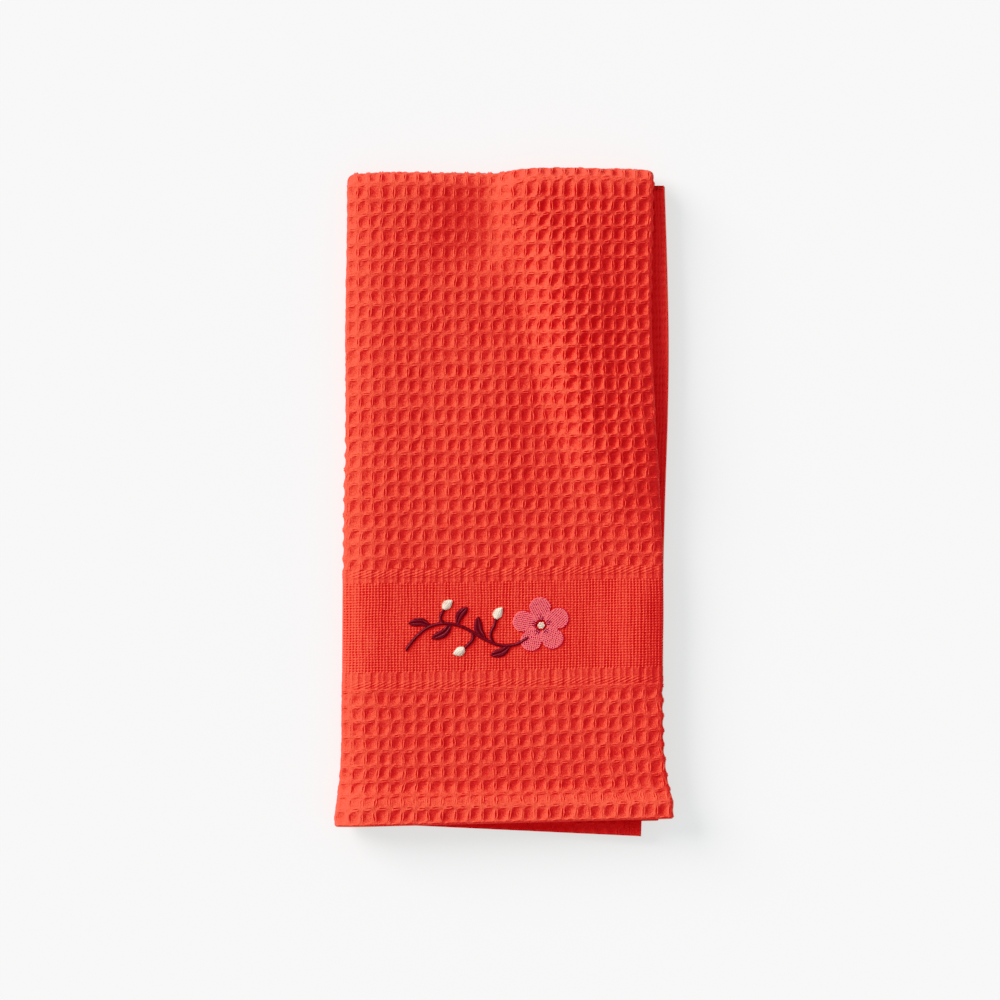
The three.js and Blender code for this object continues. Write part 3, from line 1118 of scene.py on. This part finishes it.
# %% Short ways to make nodes
class Nodes:
    """Short ways to make and join the nodes of one material."""

    def __init__(self, name):
        self.material = bpy.data.materials.new(name)
        self.material.use_nodes = True
        self.tree = self.material.node_tree
        self.shader = self.tree.nodes["Principled BSDF"]

    def node(self, kind, inputs=(), **settings):
        made = self.tree.nodes.new(kind)
        for name, value in settings.items():
            setattr(made, name, value)
        for socket, value in inputs:
            self.feed(made.inputs[socket], value)
        return made

    def feed(self, socket, value):
        if isinstance(value, bpy.types.NodeSocket):
            self.tree.links.new(value, socket)
        else:
            socket.default_value = value

    def math(self, operation, *values):
        made = self.node("ShaderNodeMath", operation=operation)
        for k, value in enumerate(values):
            self.feed(made.inputs[k], value)
        return made.outputs[0]

    def within(self, value, low, high):
        return self.math("MINIMUM", self.math("MAXIMUM", value, low), high)

    def mix(self, share, low, high):
        made = self.node("ShaderNodeMix", data_type="RGBA")
        self.feed(made.inputs["Factor"], share)
        self.feed(made.inputs["A"], low)
        self.feed(made.inputs["B"], high)
        return made.outputs["Result"]

    def noise(self, scale, detail):
        body = self.node("ShaderNodeTexCoord").outputs["Object"]
        inputs = [("Vector", body), ("Scale", scale), ("Detail", detail)]
        return self.node("ShaderNodeTexNoise", inputs).outputs["Fac"]

    def value(self, name):
        """A number that the mesh holds for each of its points."""
        return self.node("ShaderNodeAttribute", attribute_name=name).outputs["Fac"]

    def bump(self, threads, thread_height, fuzz, fuzz_height):
        """Threads and their fuzz as a bump, with the height of each in millimetres."""
        height = self.math("ADD", self.math("MULTIPLY", threads, thread_height),
                           self.math("MULTIPLY", fuzz, fuzz_height))
        made = self.node("ShaderNodeBump", [("Height", height), ("Distance", 1.0 * MM), ("Strength", 1.0)])
        self.feed(self.shader.inputs["Normal"], made.outputs["Normal"])


def with_alpha(colour):
    return (*colour, 1.0)


print("helpers:", [name for name in vars(Nodes) if not name.startswith("_")])

# %% The threads of the waffle
THREAD_ROUND = 0.6
RIB_LEAN = 7.0
OVER_LEAN = 1.5


def waffle_threads(n):
    """How high the threads stand, from 0 between them to 1 on their crests."""
    place = n.node("ShaderNodeUVMap", uv_map=WEAVE_MAP).outputs["UV"]
    split = n.node("ShaderNodeSeparateXYZ", [("Vector", place)])
    u, v = split.outputs["X"], split.outputs["Y"]
    warp_turn = n.math("MULTIPLY", u, math.pi * ENDS)
    weft_turn = n.math("MULTIPLY", v, math.pi * PICKS)
    warp = n.math("POWER", n.math("ABSOLUTE", n.math("COSINE", warp_turn)), THREAD_ROUND)
    weft = n.math("POWER", n.math("ABSOLUTE", n.math("COSINE", weft_turn)), THREAD_ROUND)
    over = n.math("MULTIPLY", n.math("SINE", warp_turn), n.math("SINE", weft_turn))
    to_rib_u = n.math("PINGPONG", u, 0.5)
    to_rib_v = n.math("PINGPONG", v, 0.5)
    lean = n.math("MULTIPLY", n.math("SUBTRACT", to_rib_v, to_rib_u), RIB_LEAN)
    upright = n.math("ADD", n.math("ADD", lean, n.math("MULTIPLY", over, OVER_LEAN)), 0.5)
    upright = n.within(upright, 0.0, 1.0)
    threads = n.node("ShaderNodeMix", [("Factor", upright)], data_type="FLOAT")
    n.feed(threads.inputs["A"], weft)
    n.feed(threads.inputs["B"], warp)
    return threads.outputs["Result"]


print("threads to a cell:", ENDS, "by", PICKS)

# %% Cotton cloth
CRIMSON = (0.645, 0.0252, 0.0280)
# The lighter red: fibre bloom, and painted highlight on the raised threads and the thread crests
BLOOM_AND_HIGHLIGHT = (0.900, 0.0655, 0.0590)
BLOOM_AND_LIGHT_START, BLOOM_AND_LIGHT_MOST = -0.75, 1.4
BLOOM_AND_LIGHT_SHARES = {"raised": 0.20, "hollow": -0.14, "threads": 0.22, "fuzz": 2.0, "tone": 0.25}
FUZZ_SCALE, TONE_SCALE = 2100.0, 60.0
THREAD_HEIGHT, FUZZ_HEIGHT = 0.10, 0.20


def cotton_cloth(name):
    """Red cotton with its threads, its fuzz and a soft change of tone from place to place."""
    n = Nodes(name)
    parts = {
        "raised": n.value("raised"),
        "hollow": n.value("hollow"),
        "threads": waffle_threads(n),
        "fuzz": n.noise(FUZZ_SCALE, 1.0),
        "tone": n.noise(TONE_SCALE, 2.0),
    }
    # The mix leans to the lighter red on raised threads and thread crests, as wear and painted highlight,
    # and away from it in the hollows, as painted shade
    bloom_and_light = BLOOM_AND_LIGHT_START
    for part, share in BLOOM_AND_LIGHT_SHARES.items():
        bloom_and_light = n.math("ADD", bloom_and_light, n.math("MULTIPLY", parts[part], share))
    colour = n.mix(n.within(bloom_and_light, 0.0, BLOOM_AND_LIGHT_MOST), with_alpha(CRIMSON), with_alpha(BLOOM_AND_HIGHLIGHT))
    n.feed(n.shader.inputs["Base Color"], colour)
    n.bump(parts["threads"], THREAD_HEIGHT, parts["fuzz"], FUZZ_HEIGHT)
    n.shader.inputs["Roughness"].default_value = 0.65
    n.shader.inputs["Specular IOR Level"].default_value = 0.22
    n.shader.inputs["Specular Tint"].default_value = (1.0, 0.75, 0.45, 1.0)
    return n.material


waffle_cotton = cotton_cloth("waffle_cotton")
for piece in cloth_pieces:
    piece.data.materials.append(waffle_cotton)
print("cotton on", len(cloth_pieces), "stretches")

# %% [markdown]
# ## The embroidered sprig
#
# The border carries a small design in three colours of thread: a pink blossom, a dark red stem with
# leaves, and cream buds. A drawn picture on the cloth would stay flat, so every stitch here is a
# thread of its own, which comes up through the cloth at one end and goes down at the other. The
# design has its own small map: `p` to the right and `q` up from its middle, in millimetres.

# %% Threads on the cloth
DESIGN_ACROSS = 246.0
DESIGN_ALONG = 105.5
THREAD_SIDES = 6
THREAD_FLAT = 0.52
END_WIDTH = 0.6
UNDER_FACE = -0.35
STITCH_STATIONS = np.array([0.0, 0.12, 0.5, 0.88, 1.0])
STITCH_ARCH = np.sin(np.pi * STITCH_STATIONS).clip(0, 1) ** 0.3


def on_border(p, q, rise):
    """A place of the design, at a height over the plain face of the cloth."""
    return lay(DESIGN_ACROSS - p, DESIGN_ALONG + q, -(CLOTH / 2 + rise))


def straight(start, end):
    """The stations of a plain stitch between two needle holes."""
    start, end = np.asarray(start, float), np.asarray(end, float)
    return start + (end - start) * STITCH_STATIONS[:, None]


def arch(rise):
    """Heights of the stations: under the face at both holes, and at the rise between them."""
    return UNDER_FACE + (rise - UNDER_FACE) * STITCH_ARCH


def thread_tubes(stitches, width, rises):
    """Rings of points along each stitch, with the run along it and the turn round it."""
    ways = np.gradient(stitches, axis=1)
    ways /= np.linalg.norm(ways, axis=-1, keepdims=True)
    turn = np.arange(THREAD_SIDES) / THREAD_SIDES
    slim = END_WIDTH + (1 - END_WIDTH) * np.sqrt(np.clip(rises / rises.max(), 0, 1))
    aside = -np.sin(2 * np.pi * turn) * width / 2 * slim[:, None]
    up = -np.cos(2 * np.pi * turn) * width * (THREAD_FLAT / 2) * slim[:, None]
    p = stitches[:, :, None, 0] - ways[:, :, None, 1] * aside
    q = stitches[:, :, None, 1] + ways[:, :, None, 0] * aside
    rise = np.broadcast_to(rises[:, None] + up, p.shape)
    paces = np.linalg.norm(np.diff(stitches, axis=1), axis=-1)
    run = np.concatenate([np.zeros((len(stitches), 1)), np.cumsum(paces, axis=1)], axis=1)
    run = np.broadcast_to(run[:, :, None], p.shape)
    return on_border(p, q, rise), run, np.broadcast_to(turn, p.shape)


print("a stitch stands on", on_border(np.array([0.0]), np.array([0.0]), np.array([0.0])).round(1))

# %% [markdown]
# A thread is a tube with six sides and a cap at each end. All stitches of one colour go into a single
# mesh, and each has a tile of its own in the flat map: its tube fills the lower part, unrolled, and
# both caps lie above it.

# %% The faces of a thread
TUBE_PART = 0.75
CAP_SIZE, CAP_MIDDLE = 0.06, 0.88
CAP_PLACES = (0.25, 0.75)


def tube_faces(first, stations):
    """Quads round a tube and a cap at each end, with their places in a unit square of the map."""
    faces, places = [], []
    for i in range(stations - 1):
        for j in range(THREAD_SIDES):
            on = (j + 1) % THREAD_SIDES
            low, high = first + i * THREAD_SIDES, first + (i + 1) * THREAD_SIDES
            faces.append((low + j, low + on, high + on, high + j))
            a, b = i / (stations - 1), (i + 1) / (stations - 1)
            c, d = TUBE_PART * j / THREAD_SIDES, TUBE_PART * (j + 1) / THREAD_SIDES
            places.extend([(a, c), (a, d), (b, d), (b, c)])
    angles = [2 * math.pi * j / THREAD_SIDES for j in range(THREAD_SIDES)]
    last = first + (stations - 1) * THREAD_SIDES
    faces.append(tuple(range(first + THREAD_SIDES - 1, first - 1, -1)))
    faces.append(tuple(range(last, last + THREAD_SIDES)))
    for middle, side in zip(CAP_PLACES, (-1, 1)):
        places.extend(
            (middle + CAP_SIZE * math.cos(angle), CAP_MIDDLE + side * CAP_SIZE * math.sin(angle))
            for angle in angles
        )
    return faces, places


print("a stitch has", len(tube_faces(0, len(STITCH_STATIONS))[0]), "faces")

# %% Sew groups of stitches into one mesh
TILE_MARGIN = 0.03


def sew(name, groups):
    """One mesh of threads. Each group is its stitches, the width of the thread and its rises."""
    total = sum(len(stitches) for stitches, _, _ in groups)
    tiles = math.ceil(math.sqrt(total))
    shades = np.random.default_rng(len(name)).uniform(0, 1, total)
    points, runs, turns, shade, faces, places = [], [], [], [], [], []
    first = made = 0
    for stitches, width, rises in groups:
        tubes, run, turn = thread_tubes(np.array(stitches), width, rises)
        points.append(tubes.reshape(-1, 3))
        runs.append(run.ravel())
        turns.append(turn.ravel())
        for _ in stitches:
            quads, spots = tube_faces(first, len(rises))
            faces.extend(quads)
            column, row = made % tiles, made // tiles
            in_tile = np.array(spots) * (1 - 2 * TILE_MARGIN) + TILE_MARGIN
            places.append((in_tile + (column, row)) / tiles)
            shade.append(np.full(len(rises) * THREAD_SIDES, shades[made]))
            first += len(rises) * THREAD_SIDES
            made += 1
    piece = new_piece(name, np.concatenate(points), faces)
    give_map(piece.data, FLAT_MAP, np.concatenate(places))
    for attribute, values in (("run", runs), ("turn", turns), ("shade", shade)):
        give_values(piece.data, attribute, np.concatenate(values))
    print(name, total, "stitches")
    return piece


# %% [markdown]
# ### Kinds of stitches
#
# The petals are filled: rows of short stitches side by side, where each row starts a little later than
# its neighbour, like bricks. The stem is a narrow satin line of slanting stitches. A leaf is two rows
# of them that meet at its midrib, and a bud is satin straight across. A hand never hits the same
# place twice, so every needle hole is a little off.

# %% Fill stitches
STITCH_PITCH = 0.42
FILL_STITCH = 2.7
FILL_SHIFT = 0.37
LEAST_STITCH = 0.7
NEEDLE_SLIP, EDGE_SLIP = 0.25, 0.1
PETAL_WIDEST = 0.66
PETAL_BASE = 0.17
PETAL_FOOT, PETAL_FOOT_ROUND = 0.82, 0.55
jitter = np.random.default_rng(70)


def turned(point, angle):
    c, s = math.cos(angle), math.sin(angle)
    return np.array([point[0] * c - point[1] * s, point[0] * s + point[1] * c])


def petal(centre, angle, length, half_width):
    """Rows of fill stitches along a petal with a narrow foot and a round tip."""
    stitches = []
    rows = int(2 * half_width / STITCH_PITCH)
    for k in range(rows):
        w = (k + 0.5) * STITCH_PITCH - half_width
        share = min(abs(w) / half_width, 0.995)
        inward = ((1 - share) / PETAL_FOOT) ** PETAL_FOOT_ROUND
        foot = length * (PETAL_WIDEST * (1 - min(inward, 1 - PETAL_BASE / PETAL_WIDEST)))
        tip = length * (PETAL_WIDEST + (1 - PETAL_WIDEST) * math.sqrt(1 - share ** 2))
        holes = np.arange(FILL_SHIFT * k % 1 - 1, length / FILL_STITCH + 1) * FILL_STITCH
        holes = holes + jitter.uniform(-NEEDLE_SLIP, NEEDLE_SLIP, len(holes))
        inner = [h for h in holes if foot + LEAST_STITCH < h < tip - LEAST_STITCH]
        first = foot + jitter.uniform(-EDGE_SLIP, EDGE_SLIP)
        last = tip + jitter.uniform(-EDGE_SLIP, EDGE_SLIP)
        ends = [first, *inner, last]
        for near, far in zip(ends, ends[1:]):
            start, end = (turned((h, w), angle) + centre for h in (near, far))
            stitches.append(straight(start, end))
    return stitches


print("a petal takes", len(petal(np.zeros(2), 0.0, 14.0, 5.0)), "stitches")

# %% Lines along a smooth path
PATH_FINE = 24


def smooth_path(points, pitch):
    """Even places along a smooth curve through the points, with the direction at each."""
    points = np.array(points, float)
    before = np.concatenate([points[:1], points[:-1]])
    after = np.concatenate([points[1:], points[-1:]])
    slopes = (after - before) / 2
    t = np.linspace(0, 1, PATH_FINE)[:, None]
    fine = [
        (2 * t ** 3 - 3 * t ** 2 + 1) * points[k] + (t ** 3 - 2 * t ** 2 + t) * slopes[k]
        + (3 * t ** 2 - 2 * t ** 3) * points[k + 1] + (t ** 3 - t ** 2) * slopes[k + 1]
        for k in range(len(points) - 1)
    ]
    fine = np.concatenate(fine)
    run = np.concatenate([[0], np.cumsum(np.linalg.norm(np.diff(fine, axis=0), axis=1))])
    places = np.linspace(0, run[-1], max(int(run[-1] / pitch), 2))
    path = np.stack([np.interp(places, run, fine[:, k]) for k in range(2)], axis=-1)
    ways = np.gradient(path, axis=0)
    return path, ways / np.linalg.norm(ways, axis=1, keepdims=True)


print("places on a bend", len(smooth_path([(0, 0), (5, 2), (10, 0)], STITCH_PITCH)[0]))

# %% Satin, leaves and knots
MIDRIB_LAP = 0.12
LEAF_LEAN = 0.75
LEAF_BELLY, LEAF_ROUND = 0.85, 0.75
KNOT_TURNS = 1.15
KNOT_STATIONS = 11


def aside_of(way):
    return np.array([-way[1], way[0]])


def satin(points, width, slant=0.0, taper=None):
    """Stitches from edge to edge of a line. The taper gives its width at each share of its length."""
    path, ways = smooth_path(points, STITCH_PITCH)
    stitches = []
    for k, (place, way) in enumerate(zip(path, ways)):
        share = k / (len(path) - 1)
        half = width / 2 * (taper(share) if taper else 1.0) * jitter.uniform(0.94, 1.06)
        reach = aside_of(way) * half
        lean = way * slant * half
        stitches.append(straight(place - reach - lean, place + reach + lean))
    return stitches


def leaf(points, width):
    """Two rows of slanting stitches that meet at a midrib."""
    path, ways = smooth_path(points, STITCH_PITCH)
    stitches = []
    for k, (place, way) in enumerate(zip(path, ways)):
        share = (k + 0.5) / len(path)
        half = width / 2 * math.sin(math.pi * share ** LEAF_BELLY) ** LEAF_ROUND
        for side in (-1, 1):
            edge = place + side * aside_of(way) * half + way * half * LEAF_LEAN
            stitches.append(straight(place - side * aside_of(way) * MIDRIB_LAP, edge))
    return stitches


def knot(centre, radius):
    """A small thread ring, as a French knot makes."""
    angles = np.linspace(0, 2 * math.pi * KNOT_TURNS, KNOT_STATIONS) + jitter.uniform(0, 6)
    return np.stack([centre[0] + radius * np.cos(angles), centre[1] + radius * np.sin(angles)], axis=-1)


print("a leaf takes", len(leaf([(0, 0), (5, 2), (10, 0)], 4.0)), "stitches")

# %% [markdown]
# ### The design
#
# The blossom sits at the right end of a curving stem, with buds on short branches above and below it.
# Each line is a few points that a smooth path runs through, in the design's own map. What is sewn
# later lies over what is there: the stem over the pink, and the knots over both.

# %% Draw the sprig
BLOSSOM = np.array([27.0, 0.5])
STEM = [
    (20, -6), (13.5, -9.5), (5, -9.6), (-4, -5.5), (-13, 0), (-22, 2.6), (-31, 1.2), (-38, -4),
    (-43.5, -11),
]
BRANCHES = [
    [(2, -8.8), (0.6, -4), (2.6, 1.2), (3.4, 4.5)],
    [(-9, -2.6), (-8.6, -6), (-11.4, -9.4), (-13.2, -10.8)],
    [(-24, 2.7), (-25.6, 5.4), (-24.6, 8.6), (-23.8, 10.2)],
]
BUDS = [
    [(3.5, 4.6), (4.4, 7.6), (6.4, 10.2)],
    [(-13.3, -10.9), (-15.6, -12.8), (-18.6, -13.8)],
    [(-23.7, 10.3), (-22.2, 12.6), (-19.8, 14.6)],
]
LEAVES = [
    [(11, -9.8), (6.8, -13.2), (1.0, -15.0)],
    [(-2, -6.7), (-5.6, -1.2), (-6.0, 5.6)],
    [(-17, 1.6), (-15.6, 6.6), (-11.8, 10.8)],
    [(-20, 2.4), (-23.8, -2.4), (-30.0, -5.2)],
    [(-31, 1.2), (-35.6, 3.4), (-42.0, 3.0)],
]
print("the sprig has", len(BRANCHES), "branches,", len(LEAVES), "leaves and", len(BUDS), "buds")

# %% Stitch the petals, lines and leaves
PETAL_LENGTH = 15.2
PETAL_HALF = 5.5
PETALS = 5
PETAL_TILT = math.radians(22)
STAMEN_START = 2.2
STAMENS = ((-0.26, 5.2), (0.0, 6.4), (0.26, 5.2))
LINE_WIDTH, LINE_SLANT = 1.55, 0.9
LEAF_WIDTH, BUD_WIDTH = 4.6, 5.0
BUD_BELLY, BUD_ROUND = 0.8, 0.6


def bud_taper(share):
    return math.sin(math.pi * min(max(share, 0.03), 0.97) ** BUD_BELLY) ** BUD_ROUND


petal_ways = [PETAL_TILT + 2 * math.pi * k / PETALS for k in range(PETALS)]
petals = [stitch for way in petal_ways for stitch in petal(BLOSSOM, way, PETAL_LENGTH, PETAL_HALF)]
stamens = [
    straight(BLOSSOM + turned((STAMEN_START, 0), way + spread), BLOSSOM + turned((reach, 0), way + spread))
    for way in petal_ways
    for spread, reach in STAMENS
]
lines = [stitch for line in (STEM, *BRANCHES) for stitch in satin(line, LINE_WIDTH, slant=LINE_SLANT)]
fronds = [stitch for points in LEAVES for stitch in leaf(points, LEAF_WIDTH)]
filled_buds = [stitch for points in BUDS for stitch in satin(points, BUD_WIDTH, taper=bud_taper)]
print(len(petals), "fill stitches,", len(lines), "in the lines and", len(fronds), "in the leaves")

# %% Tie the knots and sew the pieces
KNOTS = 6
KNOT_REACH = 1.25
MIDDLE_KNOT, OUTER_KNOT = 0.40, 0.42
THREAD, STAMEN_THREAD, KNOT_THREAD = 0.60, 0.40, 0.55
FILL_RISE, SATIN_RISE, LEAF_RISE, KNOT_RISE = 0.22, 0.55, 0.42, 0.62
KNOT_SINKS, KNOT_ARCH = 0.9, 6

blossom_knots = [knot(BLOSSOM, MIDDLE_KNOT)]
for k in range(KNOTS):
    blossom_knots.append(knot(BLOSSOM + turned((KNOT_REACH, 0), 2 * math.pi * k / KNOTS), OUTER_KNOT))
knot_rises = KNOT_RISE * (1 - KNOT_SINKS * np.linspace(-1, 1, KNOT_STATIONS) ** KNOT_ARCH)

blossom = sew("blossom", [(petals, THREAD, arch(FILL_RISE))])
sprig = sew("sprig", [
    (lines, THREAD, arch(SATIN_RISE)),
    (fronds, THREAD, arch(LEAF_RISE)),
    (stamens, STAMEN_THREAD, arch(LEAF_RISE)),
])
cream_buds = sew("cream_buds", [
    (filled_buds, THREAD, arch(SATIN_RISE)),
    (blossom_knots, KNOT_THREAD, knot_rises),
])
print("knots in the blossom", len(blossom_knots))

# %% [markdown]
# ### Embroidery thread
#
# The thread is two plies twisted round each other, smoother than the towel's own yarn. Each stitch
# takes the light a little differently, so each has a shade of its own.

# %% Thread in three colours
PINK = (1.0, 0.095, 0.150)
MAROON = (0.130, 0.006, 0.018)
CREAM = (0.96, 0.80, 0.62)
PLIES = 2.0
PLY_LENGTH = 1.1
PLY_HEIGHT, THREAD_FUZZ_HEIGHT = 0.12, 0.16
THREAD_FUZZ_SCALE = 2600.0
SHADE_SHARE, PLY_SHADING_SHARE, THREAD_FUZZ_SHARE = 0.45, 0.20, 0.9
FUZZ_START = 0.3


def embroidery_thread(name, colour, low, high):
    """Twisted thread. Its shade runs from low to high over the stitches."""
    n = Nodes(name)
    round_thread = n.math("MULTIPLY", n.value("turn"), PLIES)
    twist = n.math("ADD", round_thread, n.math("DIVIDE", n.value("run"), PLY_LENGTH))
    ply = n.math("ABSOLUTE", n.math("SINE", n.math("MULTIPLY", twist, math.pi)))
    fuzz = n.noise(THREAD_FUZZ_SCALE, 1.0)
    shade = n.math("MULTIPLY", n.value("shade"), SHADE_SHARE)
    # Painted shading of the plies: each stitch is lighter on the crests of its plies and darker between
    # them
    share = n.math("ADD", shade, n.math("MULTIPLY", ply, PLY_SHADING_SHARE))
    pale_fuzz = n.math("MULTIPLY", n.math("SUBTRACT", fuzz, FUZZ_START), THREAD_FUZZ_SHARE)
    share = n.within(n.math("ADD", share, pale_fuzz), 0.0, 1.0)
    dark = tuple(low * c for c in colour)
    light = tuple(min(high * c, 1.0) for c in colour)
    n.feed(n.shader.inputs["Base Color"], n.mix(share, with_alpha(dark), with_alpha(light)))
    n.bump(ply, PLY_HEIGHT, fuzz, THREAD_FUZZ_HEIGHT)
    n.shader.inputs["Roughness"].default_value = 0.55
    n.shader.inputs["Specular IOR Level"].default_value = 0.30
    return n.material


THREADS = {
    blossom: ("pink_thread", embroidery_thread("pink_thread", PINK, 0.90, 1.08)),
    sprig: ("maroon_thread", embroidery_thread("maroon_thread", MAROON, 0.55, 1.45)),
    cream_buds: ("cream_thread", embroidery_thread("cream_thread", CREAM, 0.84, 1.06)),
}
for piece, (_, thread) in THREADS.items():
    piece.data.materials.append(thread)
print("threads in", len(THREADS), "colours")

# %% [markdown]
# ## Finish
#
# Every piece rides on the one body and replaces the plain solid. A table lists each stretch with the
# size of its own share of the cut towel, though nothing reads it here, and the embroidery is sewn on
# the border.

SHARES = {
    front_foot: (FRONT_END - FRONT_EDGE, BORDER_LOW),
    front_border: (FRONT_END - FRONT_EDGE, BORDER_HIGH - BORDER_LOW),
    front_panel: (FRONT_END - FRONT_EDGE, PANEL_JOIN - BORDER_HIGH),
    front_top: (FRONT_END - FRONT_EDGE, FOLD_BACK - PANEL_JOIN),
    under_third: (FRONT_END - FRONT_EDGE, LENGTH - FOLD_BACK),
    inner_third: (WIDTH - FRONT_END, BACK_HEM_SHOWS),
    back_hem: (WIDTH - FRONT_END, LENGTH - BACK_HEM_SHOWS),
    tucked_third: (FRONT_EDGE, LENGTH),
}
for piece, (across, along) in SHARES.items():
    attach(piece, "root")
    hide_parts("towel_cloth")
for piece, (slot, _) in THREADS.items():
    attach(piece, "root")
    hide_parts("towel_cloth")
print("declared", len(SHARES) + len(THREADS), "pieces")

# %% [markdown]
